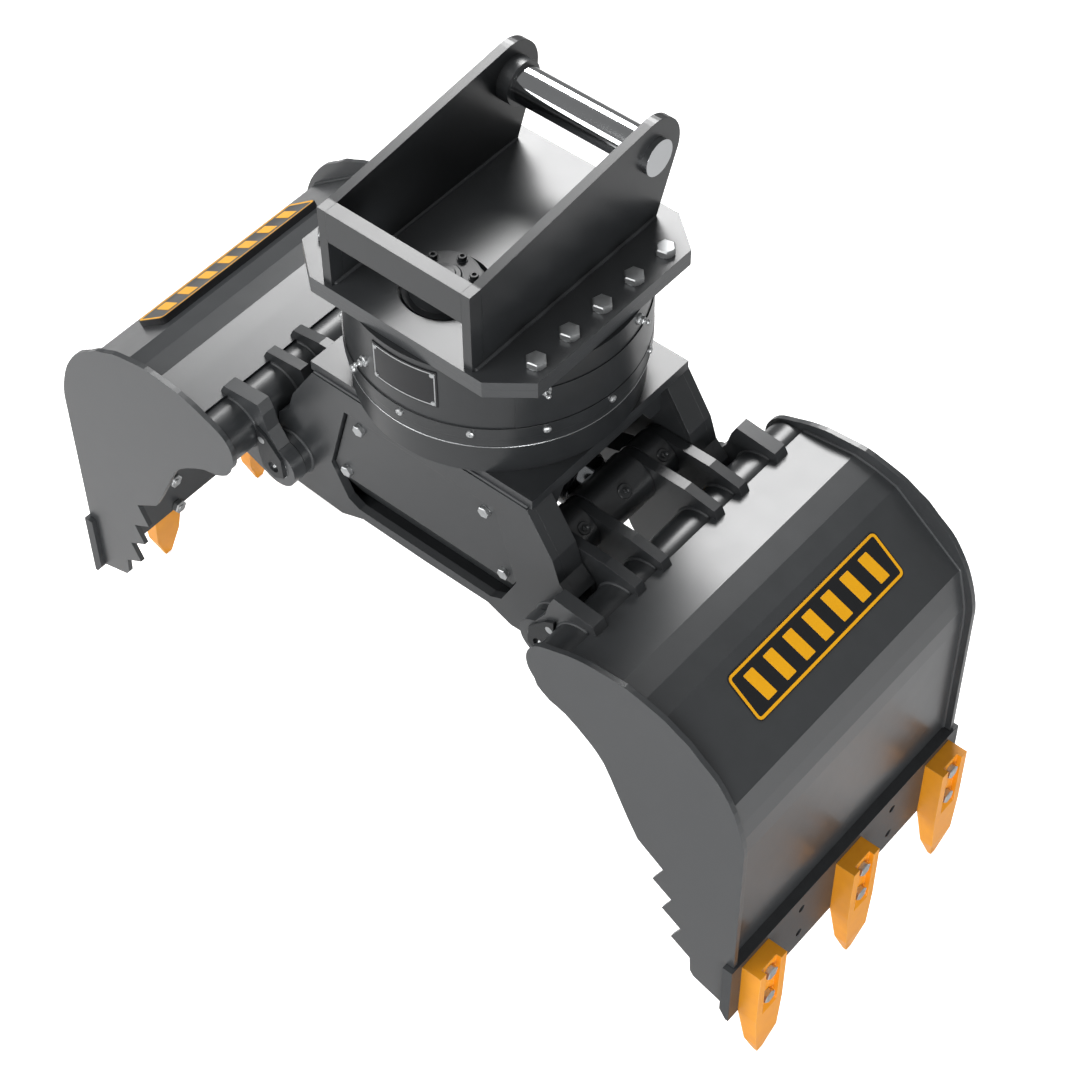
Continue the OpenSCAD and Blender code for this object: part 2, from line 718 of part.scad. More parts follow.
// Bolt places on the outer face of the blade, each with its Z axis pointing outwards
module at_blade_bolts(list = [0 : bolt_pairs - 1]) {
    for (k = list, up = bolt_up_shares)
        translate([shell_reach + blade_t, (k - (bolt_pairs - 1) / 2) * tooth_pitch,
            blade_top - blade_h * up]) rotate([0, 90, 0]) children();
}
module blade(side) {
    w = shell_w + 2 * blade_over;
    color(dark_colour) in_shell(side) difference() {
        xz_plate(0, w) polygon([[shell_reach, blade_top], [shell_reach + blade_t, blade_top],
            [shell_reach + blade_t, -lip_drop], [shell_reach + blade_t * 0.7, -lip_drop],
            [shell_reach, -lip_drop + blade_bevel]]);
        at_blade_bolts() cylinder(h = 4 * blade_t, r = tooth_bolt_d / 2, center = true);
    }
}
tooth_top_drop = 17;
tooth_pocket = 13;
tooth_pocket_w_share = 0.56;
tooth_face_share = 0.6;
tooth_point_share = 0.35;
tooth_tip_share = 0.22;
pocket_low = 22;
module tooth() {
    x = shell_reach + blade_t;
    top = blade_top - tooth_top_drop;
    tip = -lip_drop - tooth_reach;
    face = -lip_drop - tooth_reach * tooth_face_share;
    half = tooth_w / 2;
    point = half * tooth_tip_share;
    floor_x = x + tooth_t - tooth_pocket;
    difference() {
        intersection() {
            xz_plate(0, tooth_w) polygon([[x, top], [x + tooth_t, top], [x + tooth_t, face],
                [x + tooth_t * 0.75, tip], [x + tooth_t * 0.55, tip], [x, -lip_drop]]);
            yz_plate(x + tooth_t / 2, tooth_t) polygon([[-half, top], [half, top], [half, -lip_drop],
                [half * 0.8, face], [point, tip], [-point, tip], [-half * 0.8, face], [-half, -lip_drop]]);
        }
        xz_plate(0, tooth_w * tooth_pocket_w_share) polygon([[floor_x, top + over],
            [x + tooth_t + over, top + over],
            [x + tooth_t + over, -lip_drop + pocket_low - tooth_pocket - over],
            [floor_x, -lip_drop + pocket_low]]);
    }
}
module teeth(side, list) {
    color(tooth_colour) in_shell(side) difference() {
        for (k = list) translate([0, (k - (bolt_pairs - 1) / 2) * tooth_pitch, 0]) tooth();
        at_blade_bolts(list) translate([0, 0, -over])
            cylinder(h = tooth_t + 2 * over, r = tooth_bolt_d / 2);
    }
}
module tooth_bolts(side, list) {
    grip = tooth_t - tooth_pocket;
    inside = blade_t + skin_t;
    nut_h = tooth_bolt_d * 0.8;
    color(zinc_colour) in_shell(side) at_blade_bolts(list) {
        translate([0, 0, grip]) hex_bolt(tooth_bolt_d, grip + inside + nut_h * 1.2);
        translate([0, 0, -inside - nut_h]) cylinder(h = nut_h, r = tooth_bolt_d * 0.92, $fn = 6);
    }
}
module torsion_tube(side) {
    len = shell_w - 2 * side_t;
    color(paint_colour) in_shell(side) difference() {
        y_bar(tube_at, tube_r, 0, len, $fn = 96);
        y_bar(tube_at, tube_r - tube_wall, 0, len + 2 * over, $fn = 96);
    }
}

// Ears and ribs: a web from the skin and the tube to the pins that they carry
pivot_lobe_r = 56;
// The inner ribs carry no pivot pin, and their wide lobes close the gap under the cylinder
inner_lobe_r = pivot_lobe_r * 1.6;
lever_lobe_r = 55;
link_lobe_r = 46;
web_foot = [shell_reach * 0.259, crown_rise * 0.86];
web_edge = [shell_reach * 0.229, crown_rise * 0.848];
web_top = web_foot + [-0.52, 1.02] * rib_t;
neck_shares = [[0.53, 2.54], [0.35, 2.15], [0.18, 1.5], [-0.22, 0.86]];
// Direction of the outer tangent's touching points on two lobes
function tangent_deg(a, ra, b, rb) = atan2(b.y - a.y, b.x - a.x) + acos((ra - rb) / norm(b - a));
// The link pin mirrors the lever pin through the middle of the frame when the shells are half closed
link_pin_at = lever_r * [cos(close_deg - lever_deg), sin(close_deg - lever_deg)];
module lobe_web(a, ra, b, rb) {
    d = tangent_deg(a, ra, b, rb);
    e = 2 * atan2(b.y - a.y, b.x - a.x) - d;
    polygon([a + ra * [cos(d), sin(d)], b + rb * [cos(d), sin(d)],
        b + rb * [cos(e), sin(e)], a + ra * [cos(e), sin(e)]]);
}
module cleared() {
    difference() {
        children();
        translate(tube_at) circle(tube_r + seat_gap, $fn = 96);
        skin_outline();
    }
}
tube_low = tube_at - [0, tube_r * 1.2];
module ear_outline() {
    cleared() difference() {
        union() {
            circle(pivot_lobe_r);
            polygon(concat([web_top], sized(neck_shares, tube_r, tube_r), [[0, 0],
                pivot_lobe_r * [0.2, -0.98], tube_low, tube_at, web_edge, web_foot]));
        }
        circle(pivot_pin_r + fit);
    }
}
module lever_rib_outline(has_pivot) {
    lobe_r = has_pivot ? pivot_lobe_r : inner_lobe_r;
    cleared() difference() {
        union() {
            circle(lobe_r);
            translate(lever_at) circle(lever_lobe_r);
            lobe_web(lever_at, lever_lobe_r, [0, 0], lobe_r);
            polygon([lever_at + [0, lever_lobe_r], [web_top.x - tube_r * 1.2, lever_at.y + lever_lobe_r],
                web_top, web_foot, web_edge, tube_at, tube_low, [0, -lobe_r], [0, 0], lever_at]);
        }
        translate(lever_at) circle(lever_pin_r + fit);
        if (has_pivot) circle(pivot_pin_r + fit);
    }
}
module link_rib_outline(has_lever) {
    cleared() difference() {
        union() {
            circle(pivot_lobe_r);
            translate(link_pin_at) circle(link_lobe_r);
            lobe_web([0, 0], pivot_lobe_r, link_pin_at, link_lobe_r);
            polygon([[0, 0], tube_at, tube_low + [tube_r * 0.4, 0], link_pin_at + [link_lobe_r, 0],
                link_pin_at]);
            if (!has_lever) polygon(concat([web_top], sized(neck_shares, tube_r, tube_r), [[0, 0],
                tube_low, tube_at, web_edge, web_foot]));
        }
        translate(link_pin_at) circle(link_pin_r + fit);
        if (!has_lever) circle(pivot_pin_r + fit);
        if (has_lever) translate(lever_at) circle(lever_pin_r + fit);
    }
    if (has_lever) difference() {
        lever_rib_outline(false);
        translate(link_pin_at) circle(link_pin_r + fit);
    }
}
link_pin_r = 20;
module ears(side) {
    color(paint_colour) in_shell(side) both_sides()
        xz_plate(-ear_in_y - ear_t / 2, ear_t) ear_outline();
}
module right_rib_plates() {
    xz_plate(-rib_in_y - rib_t / 2, rib_t) lever_rib_outline(false);
    xz_plate(-rib_out_y - rib_t / 2, rib_t) lever_rib_outline(true);
}
module left_rib_plates() {
    xz_plate(-rib_in_y - rib_t / 2, rib_t) link_rib_outline(true);
    xz_plate(-rib_out_y - rib_t / 2, rib_t) link_rib_outline(false);
}
lock_t = 8;
module pivot_pins(side) {
    len = ear_end_y - rib_out_y;
    color(steel_colour) in_shell(side) both_sides()
        y_bar([0, 0], pivot_pin_r, -rib_out_y - len / 2, len);
}
lock_shares = [[-0.75, 1.09], [0.49, 2.49], [1.17, 2.9], [1.17, 0.71], [0.9, -0.55], [0, -0.95],
    [-0.85, -0.5]];
lock_screw_share = [0.8, 1.9];
lock_hole_r = 14;
module lock_plates(side) {
    screw_r = 9;
    color(dark_colour) in_shell(side) both_sides()
        xz_plate(-ear_end_y - lock_t / 2, lock_t) difference() {
            polygon(sized(lock_shares, pivot_pin_r, pivot_pin_r) * 0.98);
            circle(lock_hole_r);
            translate(lock_screw_share * pivot_pin_r) circle(screw_r + seat_gap);
        }
    color(zinc_colour) in_shell(side) both_sides()
        y_bar(lock_screw_share * pivot_pin_r, screw_r, -ear_end_y - lock_t / 2, lock_t);
}

// Cylinder, lying between the two lever pins
module at_lever_pin(side) { in_shell(side) translate([lever_at.x, 0, lever_at.y]) children(); }
module right_cylinder_pin() {
    color(steel_colour) at_lever_pin(1) y_bar([0, 0], lever_pin_r, 0, 2 * rib_end_y);
}
module left_cylinder_pin() {
    color(steel_colour) at_lever_pin(-1) y_bar([0, 0], lever_pin_r, 0, 2 * (rib_in_y + rib_t));
}
module left_link_pin() {
    len = rib_end_y - rib_in_y;
    color(steel_colour) in_shell(-1) both_sides()
        y_bar(link_pin_at, link_pin_r, -rib_in_y - len / 2, len);
}
pins_apart = 2 * (pivot_x + lever_at.x);
gland_gap = 2;
gland_h = 52;
gland_lip = 8;
base_wall = 12;
barrel_len = pins_apart - eye_r - gland_gap - gland_lip;
piston_h = 55;
// Frame of the cylinder: X runs along the rod from the left pin to the right pin
module in_cylinder() { at_lever_pin(-1) mirror([1, 0, 0]) children(); }
module x_bar(from, to, r) { translate([from, 0, 0]) rotate([0, 90, 0]) cylinder(h = to - from, r = r); }
module cylinder_barrel() {
    bore_from = eye_r + base_wall;
    color(paint_colour) in_cylinder() difference() {
        union() {
            y_bar([0, 0], eye_r, 0, eye_w);
            x_bar(eye_r / 2, barrel_len, barrel_r, $fn = 96);
        }
        y_bar([0, 0], lever_pin_r + fit, 0, eye_w + 2 * over);
        x_bar(bore_from, barrel_len + over, bore_r, $fn = 96);
    }
}
module cylinder_gland() {
    color(steel_colour) in_cylinder() difference() {
        union() {
            x_bar(barrel_len - gland_h, barrel_len, bore_r - fit);
            x_bar(barrel_len, barrel_len + gland_lip, barrel_r - gland_lip / 2);
        }
        x_bar(barrel_len - gland_h - over, barrel_len + gland_lip + over, rod_r + fit);
    }
}
module cylinder_rod() {
    piston_from = eye_r + base_wall + over;
    color(steel_colour) in_cylinder() {
        x_bar(piston_from, piston_from + piston_h, bore_r - fit);
        x_bar(piston_from, pins_apart - lever_pin_r - bush_wall, rod_r);
    }
    color(paint_colour) in_cylinder() difference() {
        translate([pins_apart, 0, 0]) y_bar([0, 0], eye_r, 0, eye_w);
        translate([pins_apart, 0, 0]) y_bar([0, 0], lever_pin_r + fit, 0, eye_w + 2 * over);
        x_bar(pins_apart - eye_r - over, pins_apart - lever_pin_r - bush_wall, rod_r);
    }
}

// Synchronising links, from the right lever pin down to the left link pin. The distance between the
// two pins changes a little as the shells close, so the left eye is open by that much.
function link_span(t) = let (a = rotated(lever_at, -t), b = rotated(link_pin_at, -t))
    [2 * pivot_x + a.x + b.x, a.y - b.y];
link_mean = (link_span(0) + link_span(close_deg / 2)) / 2;
link_play = norm(link_span(close_deg / 2) - link_span(0)) / 2;
link_len = norm(link_mean);
link_deg = atan2(link_mean.y, link_mean.x);
link_eye_r = 58;
link_open_r = link_pin_r + link_play + side_gap;
link_body_h = 62;
module sync_link() {
    color(paint_colour) at_lever_pin(1) rotate([0, -link_deg, 0]) xz_plate(-link_in_y - link_w / 2, link_w)
        difference() {
            union() {
                circle(link_eye_r);
                translate([-link_len, 0]) circle(link_eye_r);
                translate([-link_len, -link_body_h / 2]) square([link_len, link_body_h]);
            }
            circle(lever_pin_r + fit);
            translate([-link_len, 0]) circle(link_open_r);
        }
}
module front_sync_link() { sync_link(); }
module rear_sync_link() { mirror([0, 1, 0]) sync_link(); }

right_teeth_at = [0, 2, 4];
left_teeth_at = [1, 3];
// The two shells' sub-parts
module right_side_plates() { side_plates(1); }
module right_back_skin() { back_skin(1); }
module right_blade() { blade(1); }
module right_torsion_tube() { torsion_tube(1); }
module right_ears() { ears(1); }
module right_pivot_pins() { pivot_pins(1); }
module right_lock_plates() { lock_plates(1); }
module right_teeth() { teeth(1, right_teeth_at); }
module right_tooth_bolts() { tooth_bolts(1, right_teeth_at); }
module right_ribs() { color(paint_colour) in_shell(1) both_sides() right_rib_plates(); }
module left_side_plates() { side_plates(-1); }
module left_back_skin() { back_skin(-1); }
module left_blade() { blade(-1); }
module left_torsion_tube() { torsion_tube(-1); }
module left_ears() { ears(-1); }
module left_pivot_pins() { pivot_pins(-1); }
module left_lock_plates() { lock_plates(-1); }
module left_teeth() { teeth(-1, left_teeth_at); }
module left_tooth_bolts() { tooth_bolts(-1, left_teeth_at); }
module left_ribs() { color(paint_colour) in_shell(-1) both_sides() left_rib_plates(); }

adapter_base_plate();
left_cheek();
right_cheek();
front_cross_bar();
coupler_pin();
adapter_bolts();
rotator_top_plate();
slew_motor();
slew_motor_bolts();
rotator_housing();
housing_wrap_cover();
housing_screws();
type_plate();
bearing_outer_race();
bearing_balls();
rotary_union_core();
drive_pinion();
slew_ring_gear();
frame_ring();
rotary_union_sleeve();
frame_top_plate();
front_frame_side();
rear_frame_side();
arm_inner_plates();
arm_end_strips();
frame_bottom_strips();
frame_end_plates();
frame_pivot_tubes();
pivot_bushes();
front_cover();
rear_cover();
cover_bolts();
right_side_plates();
right_back_skin();
right_blade();
right_teeth();
right_tooth_bolts();
right_torsion_tube();
right_ears();
right_ribs();
right_pivot_pins();
right_lock_plates();
right_cylinder_pin();
left_side_plates();
left_back_skin();
left_blade();
left_teeth();
left_tooth_bolts();
left_torsion_tube();
left_ears();
left_ribs();
left_pivot_pins();
left_lock_plates();
left_cylinder_pin();
left_link_pin();
cylinder_barrel();
cylinder_gland();
cylinder_rod();
front_sync_link();
rear_sync_link();
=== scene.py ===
"""Looks of the sorting grapple: paint, steel, welds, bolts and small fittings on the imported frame.

Places are in metres in the row frame: Z up along the slewing axis, X towards the shell with three
teeth, Y along the shell pivots. Profiles of small pieces are in millimetres, as on a drawing.
"""
import json
import math

import bmesh
import bpy
from mathutils import Matrix, Vector


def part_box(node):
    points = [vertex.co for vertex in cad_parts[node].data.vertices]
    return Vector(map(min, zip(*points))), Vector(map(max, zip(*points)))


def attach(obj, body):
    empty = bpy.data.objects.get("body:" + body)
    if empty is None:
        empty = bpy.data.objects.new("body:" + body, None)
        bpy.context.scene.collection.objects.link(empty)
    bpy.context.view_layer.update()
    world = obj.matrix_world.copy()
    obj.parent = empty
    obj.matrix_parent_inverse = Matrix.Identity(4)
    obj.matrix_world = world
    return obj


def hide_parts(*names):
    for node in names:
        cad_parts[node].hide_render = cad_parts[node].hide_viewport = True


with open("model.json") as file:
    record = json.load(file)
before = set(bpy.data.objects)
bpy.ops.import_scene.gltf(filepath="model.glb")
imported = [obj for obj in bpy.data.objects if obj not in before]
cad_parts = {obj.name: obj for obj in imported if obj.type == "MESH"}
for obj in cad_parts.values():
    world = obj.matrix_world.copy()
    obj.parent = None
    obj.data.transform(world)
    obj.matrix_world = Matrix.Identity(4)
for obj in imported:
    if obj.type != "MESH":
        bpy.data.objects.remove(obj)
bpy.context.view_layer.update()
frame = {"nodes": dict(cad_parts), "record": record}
nodes = frame["nodes"]

SIDES = (("right", 1), ("left", -1))
WAYS = (1, -1)

# Levels and stations that the small pieces sit on, read from the frame
PIVOT_X = sum(c.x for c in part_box("right_pivot_pins")) / 2
PIVOT_Z = sum(c.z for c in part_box("right_pivot_pins")) / 2
LEVER_X = sum(c.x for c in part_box("right_cylinder_pin")) / 2
LEVER_Z = sum(c.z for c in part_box("right_cylinder_pin")) / 2
SEAT_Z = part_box("adapter_base_plate")[1].z
HOUSING_R = 0.312
ARM_Y = -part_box("front_frame_side")[0].y
# Seat of the cover bolts, 10 mm inside the faces of the arms
COVER_Y = ARM_Y - 0.01
SHELL_Y = -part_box("right_back_skin")[0].y
BLADE_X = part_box("right_blade")[1].x
# Outer line of the bent skin, from its pivot, in mm
SKIN = [(130, 132.6), (209.4, 144), (260.8, 151), (318, 144), (369.5, 130.2), (544.5, -4.4),
        (560, -65.7), (569.1, -107.3), (572, -160.6), (572, -536)]
# The wide facet of the skin, which carries the sign
SIGN_FACET = SKIN[4:6]
# Centre of the torsion tube from the pivot, and its radius, in mm
TUBE_AT = (108, 65)
TUBE_R = 65
# Ribs and ears are welded to it over its crown and down its inner side
TUBE_ARC_DEG = (75, 262)
# Both faces of each rib and ear, along Y
RIB_YS = (0.075, 0.1, 0.157, 0.182)
EAR_THICK = 0.0345
EAR_IN_Y = -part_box("right_ears")[0].y
EAR_YS = (EAR_IN_Y - EAR_THICK, EAR_IN_Y)


def linear(hex_text):
    """An sRGB hex colour as linear RGBA."""
    values = [int(hex_text[i:i + 2], 16) / 255 for i in (1, 3, 5)]
    return [v / 12.92 if v < 0.04045 else ((v + 0.055) / 1.055) ** 2.4 for v in values] + [1.0]


def add(tree, kind, inputs=None, **settings):
    """Adds a shader node; an input is a value or the output socket that feeds it."""
    node = tree.nodes.new("ShaderNode" + kind)
    for name, value in settings.items():
        setattr(node, name, value)
    for name, value in (inputs or {}).items():
        if isinstance(value, bpy.types.NodeSocket):
            tree.links.new(value, node.inputs[name])
        else:
            node.inputs[name].default_value = value
    return node


def finish_of(name, colour, rough, metal=0.0, coat=0.0, mottle=0.05, mottle_mm=60.0, peel_mm=3.0,
              peel=0.06, rough_spread=0.02, edge_mm=1.2, edge_colour=None):
    """A surface: mottled colour, uneven gloss, fine relief of peel_mm, and rounded arrises."""
    made = bpy.data.materials.new(name)
    made.use_nodes = True
    tree = made.node_tree
    tree.nodes.clear()
    place = add(tree, "TexCoord")
    cloud = add(tree, "TexNoise", {"Vector": place.outputs["Object"], "Scale": 1000 / mottle_mm,
                                   "Detail": 4.0, "Roughness": 0.6})
    grain = add(tree, "TexNoise", {"Vector": place.outputs["Object"], "Scale": 1000 / peel_mm,
                                   "Detail": 2.0, "Roughness": 0.5})
    # Noise seldom leaves this span, so the whole range of tone and gloss lies in it
    noise_low, noise_high = 0.3, 0.7
    tone = linear(colour)[:3]
    ramp = add(tree, "ValToRGB", {"Fac": cloud.outputs["Fac"]})
    dark_end, pale_end = ramp.color_ramp.elements
    dark_end.position, pale_end.position = noise_low, noise_high
    dark_end.color = [c * (1 - mottle) for c in tone] + [1]
    pale_end.color = [min(1, c * (1 + mottle)) for c in tone] + [1]
    base = ramp.outputs["Color"]
    soft = add(tree, "Bevel", {"Radius": edge_mm / 1000}, samples=4)
    if edge_colour:
        # An arris is where the rounded normal turns away from the flat one
        flat = add(tree, "NewGeometry")
        turn = add(tree, "VectorMath", {0: soft.outputs[0], 1: flat.outputs["Normal"]},
                   operation="DOT_PRODUCT")
        worn = add(tree, "MapRange", {"Value": turn.outputs["Value"], "From Min": 0.97,
                                      "From Max": 0.8, "To Min": 0.0, "To Max": 1.0})
        # Sockets 0, 6 and 7 are the factor and the two colours of a colour mix, and 2 its result
        blend = add(tree, "Mix", {0: worn.outputs[0], 6: base, 7: linear(edge_colour)},
                    data_type="RGBA")
        base = blend.outputs[2]
    gloss = add(tree, "MapRange", {"Value": cloud.outputs["Fac"], "From Min": noise_low,
                                   "From Max": noise_high, "To Min": rough - rough_spread,
                                   "To Max": rough + rough_spread})
    relief = add(tree, "Bump", {"Height": grain.outputs["Fac"], "Strength": peel,
                                "Distance": 0.001, "Normal": soft.outputs[0]})
    shader = add(tree, "BsdfPrincipled", {"Base Color": base, "Roughness": gloss.outputs[0],
                                          "Normal": relief.outputs[0], "Metallic": metal,
                                          "Coat Weight": coat, "Coat Roughness": 0.24})
    add(tree, "OutputMaterial", {"Surface": shader.outputs[0]})
    return made


# Powder coat over blasted plate: even satin anthracite with a faint orange peel. The real peel has
# waves of 1 to 2 mm, too fine to show, so here and in the next two they are drawn 4 to 6 mm long
powder_coat = finish_of("anthracite_powder_coat", "#3c3e40", 0.36, coat=0.6, mottle=0.05,
                        peel_mm=4, peel=0.05, edge_mm=1.6)
# The same coat on the frame and rotator, painted a little darker as painted shade
shade_painted_coat = finish_of("powder_coat_painted_shade", "#303234", 0.35, coat=0.5, mottle=0.06, peel_mm=4,
                      peel=0.05, edge_mm=1.6)
# Bracket, bar and bearing in the same coat, painted deepest in tone as painted shade, since they are
# seldom in the light
deepest_shade_painted_coat = finish_of("powder_coat_deepest_painted_shade", "#27292b", 0.32, coat=0.4, mottle=0.06, peel_mm=6,
                      peel=0.012, edge_mm=1.6)
# Wear steel of the blade with a thin dry coat: duller and cloudier than the plates around it
blade_coat = finish_of("blade_wear_steel_coat", "#3b3d3f", 0.42, mottle=0.09, mottle_mm=30,
                       peel_mm=3, peel=0.09, edge_mm=1.5)
# Motor, its screws, the lock plates and the union's sleeve: wet-painted cast iron, whose sand
# grain of under 1 mm is drawn 3 mm wide, so that the black breaks up its reflections
cast_black = finish_of("black_cast_iron_paint", "#26282a", 0.38, mottle=0.1, peel_mm=3, peel=0.15,
                       edge_mm=1.2)
# Teeth: sprayed signal paint on a casting, paler where the coat is thin on the arrises
tooth_paint = finish_of("orange_tooth_paint", "#ffa41c", 0.4, coat=0.1, mottle=0.07, mottle_mm=45,
                        peel_mm=5, peel=0.12, edge_mm=2.2, edge_colour="#ffc468")
# Ground pins, balls and gears: soft highlights, a little uneven, with grinding marks drawn
# 1.5 mm wide where real ones are a tenth of that
ground_steel = finish_of("ground_bright_steel", "#c6c8ca", 0.24, metal=1.0, mottle=0.04,
                         mottle_mm=20, peel_mm=1.5, peel=0.02, rough_spread=0.04, edge_mm=0.8)
# Hard chrome on the rod, its gland and the coupler pin: sharp bright bands from the lamps
chrome = finish_of("hard_chrome", "#d6d8da", 0.08, metal=1.0, mottle=0.02, peel=0.01,
                   rough_spread=0.02, edge_mm=0.6)
# Bright zinc on hexagon bolts and small fittings: slightly uneven, cool white, the crystals
# drawn 6 mm wide where real ones can't be seen
zinc = finish_of("bright_zinc_plate", "#cccecf", 0.42, metal=1.0, mottle=0.05, mottle_mm=12,
                 peel_mm=6, peel=0.01, rough_spread=0.05, edge_mm=0.5)
# Bushes of turned bronze: warm metal, with tool marks of a few tenths drawn 1 mm wide
bronze = finish_of("turned_bronze", "#b8904c", 0.3, metal=1.0, mottle=0.06, mottle_mm=15,
                   peel_mm=1.0, peel=0.03, edge_mm=0.6)
# Weld beads under the coat: a shade paler and rougher than the plates, so that ripples show
weld_metal = finish_of("painted_weld_bead", "#444648", 0.4, mottle=0.1, mottle_mm=12, peel_mm=2,
                       peel=0.12, edge_mm=0.6)
# Printed sign plate: smooth enamel, near black in the field and amber in bars and border
sign_black = finish_of("black_sign_enamel", "#1d1e20", 0.35, mottle=0.04, peel=0.02, edge_mm=0.5)
sign_amber = finish_of("amber_sign_enamel", "#ffb60e", 0.42, mottle=0.03, peel=0.02, edge_mm=0.5)
# Type plate of anodised aluminium: flat deep black with a soft sheen
plate_black = finish_of("black_anodised_plate", "#16171a", 0.3, mottle=0.05, peel=0.03,
                        edge_mm=0.5)

FINISHES = {"anthracite_paint": powder_coat, "black_paint": cast_black, "blade_steel": blade_coat,
            "tooth_paint": tooth_paint, "bright_steel": ground_steel, "chrome_rod": chrome,
            "zinc_bolts": zinc, "bronze_bush": bronze, "plate_black": plate_black}
# Bracket, bar, housing and bearing take the darkest copy of the coat, as painted shade
DEEPEST_SHADE_NODES = {"right_cheek", "left_cheek", "front_cross_bar", "rotator_housing",
              "housing_wrap_cover", "frame_ring", "bearing_outer_race"}
# Frame, arms, barrel, links, tubes and ribs take the darker copy of the coat, as painted shade
SHADE_PAINTED_NODES = {"arm_inner_plates", "arm_end_strips", "frame_bottom_strips", "frame_end_plates",
              "front_frame_side", "rear_frame_side", "front_cover", "rear_cover",
              "frame_pivot_tubes", "frame_top_plate", "cylinder_barrel", "front_sync_link",
              "rear_sync_link", "right_torsion_tube", "left_torsion_tube", "right_ribs",
              "left_ribs"}


def coat_node(name, first, second=None, is_second=None):
    """Gives a CAD node its finish, and a second one to the faces that is_second picks."""
    mesh = nodes[name].data
    mesh.materials.clear()
    mesh.materials.append(first)
    if second:
        mesh.materials.append(second)
    for face in mesh.polygons:
        face.material_index = 1 if second and is_second(face) else 0


for part in frame["record"]["subparts"]:
    finish = FINISHES[part["material_slot"]]
    # Listed nodes take copies of the coat darkened as painted shade, in place of their slot's finish
    if part["node"] in DEEPEST_SHADE_NODES:
        finish = deepest_shade_painted_coat
    elif part["node"] in SHADE_PAINTED_NODES:
        finish = shade_painted_coat
    coat_node(part["node"], finish)

# Coupler pin: bright, with a painted collar, which is the widest thing on it
COLLAR_R = 0.05
PIN_FACE_R = 0.0403
PIN_Y = 0.25
PIN_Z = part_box("coupler_pin")[1].z - COLLAR_R
COLLAR_X = (-0.17, -0.13)


def on_collar(face):
    """Whether a face of the coupler pin is on the collar's rim or on one of its two ends."""
    wide = math.hypot(face.center.y - PIN_Y, face.center.z - PIN_Z) > PIN_FACE_R
    return wide or (abs(face.normal.x) > 0.9 and COLLAR_X[0] < face.center.x < COLLAR_X[1])


coat_node("coupler_pin", chrome, powder_coat, on_collar)
# Cylinder rod: chromed as far as its eye, which has the coat darkened as painted shade
ROD_EYE_REACH = 0.066
coat_node("cylinder_rod", chrome, shade_painted_coat, lambda face: face.center.x > LEVER_X - ROD_EYE_REACH)
# Lock plates: black, each with a bright screw above and outside its pin
LOCK_SCREW_AT = (0.028, 0.0665)
LOCK_SCREW_R = 0.0095
for side_name, side in SIDES:
    coat_node(side_name + "_lock_plates", cast_black, zinc,
              lambda face: math.hypot(face.center.x - side * (PIVOT_X + LOCK_SCREW_AT[0]),
                                      face.center.z - PIVOT_Z - LOCK_SCREW_AT[1]) < LOCK_SCREW_R)
# Type plate: black, with rivets that stand out beyond its face
PLATE_FACE_R = HOUSING_R + 0.0024
coat_node("type_plate", plate_black, zinc,
          lambda face: math.hypot(face.center.x, face.center.y) > PLATE_FACE_R)


def put(name, shape, finishes, body, smooth_deg=30, stands_for=()):
    """Makes the bmesh a piece that rides on a body; its place stays in its mesh."""
    mesh = bpy.data.meshes.new(name)
    shape.normal_update()
    for face in shape.faces:
        face.smooth = True
    for edge in shape.edges:
        if len(edge.link_faces) == 2:
            edge.smooth = edge.calc_face_angle(0.0) < math.radians(smooth_deg)
    shape.to_mesh(mesh)
    shape.free()
    for finish in finishes:
        mesh.materials.append(finish)
    piece = bpy.data.objects.new(name, mesh)
    bpy.context.scene.collection.objects.link(piece)
    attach(piece, body)
    if stands_for:
        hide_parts(*stands_for)


def turning_to(direction):
    """Rotation that turns +Z to a direction."""
    return Vector(direction).normalized().to_track_quat("Z", "Y").to_matrix().to_4x4()


def facing(at, out):
    """Place of a small piece: its foot at a point, its own Z along a direction."""
    return Matrix.Translation(at) @ turning_to(out)


def edges_of(verts):
    """The edges at some vertices, each once, in the same order on every run."""
    return list(dict.fromkeys(edge for vert in verts for edge in vert.link_edges))


def faces_of(verts):
    """The faces at some vertices, each once, in the same order on every run."""
    return list(dict.fromkeys(face for vert in verts for face in vert.link_faces))


def turned_shape(shape, profile, steps, place):
    """Adds a turned solid: the profile (radius, height) in mm spun about Z, then placed."""
    solid = bmesh.new()
    rim = [solid.verts.new((r / 1000, 0, z / 1000)) for r, z in profile]
    lines = [solid.edges.new(pair) for pair in zip(rim, rim[1:])]
    bmesh.ops.spin(solid, geom=rim + lines, cent=(0, 0, 0), axis=(0, 0, 1), angle=math.tau,
                   steps=steps, use_merge=True)
    bmesh.ops.remove_doubles(solid, verts=solid.verts, dist=1e-6)
    bmesh.ops.recalc_face_normals(solid, faces=solid.faces)
    bmesh.ops.transform(solid, matrix=place, verts=solid.verts)
    carrier = bpy.data.meshes.new("turned_shape")
    solid.to_mesh(carrier)
    solid.free()
    shape.from_mesh(carrier)
    bpy.data.meshes.remove(carrier)


def bolt_shape(shape, size, place):
    """Hexagon bolt head of a thread size in mm, on its thin washer face, from z = 0."""
    face, head, corner = size * 0.04, size * 0.66, size * 0.9
    washer = [(0, 0), (size * 0.8, 0), (size * 0.8, face), (0, face)]
    hexagon = [(0, face), (corner * 0.97, face), (corner, face + size * 0.02),
               (corner, head * 0.88), (corner * 0.87, head), (0, head)]
    turned_shape(shape, washer, 28, place)
    turned_shape(shape, hexagon, 6, place @ Matrix.Rotation(math.radians(13), 4, "Z"))


def bolts(name, size, places, body, stands_for):
    """One piece with a bolt at each (point, outward direction)."""
    shape = bmesh.new()
    for at, out in places:
        bolt_shape(shape, size, facing(at, out))
    put(name, shape, [zinc], body, 25, stands_for)


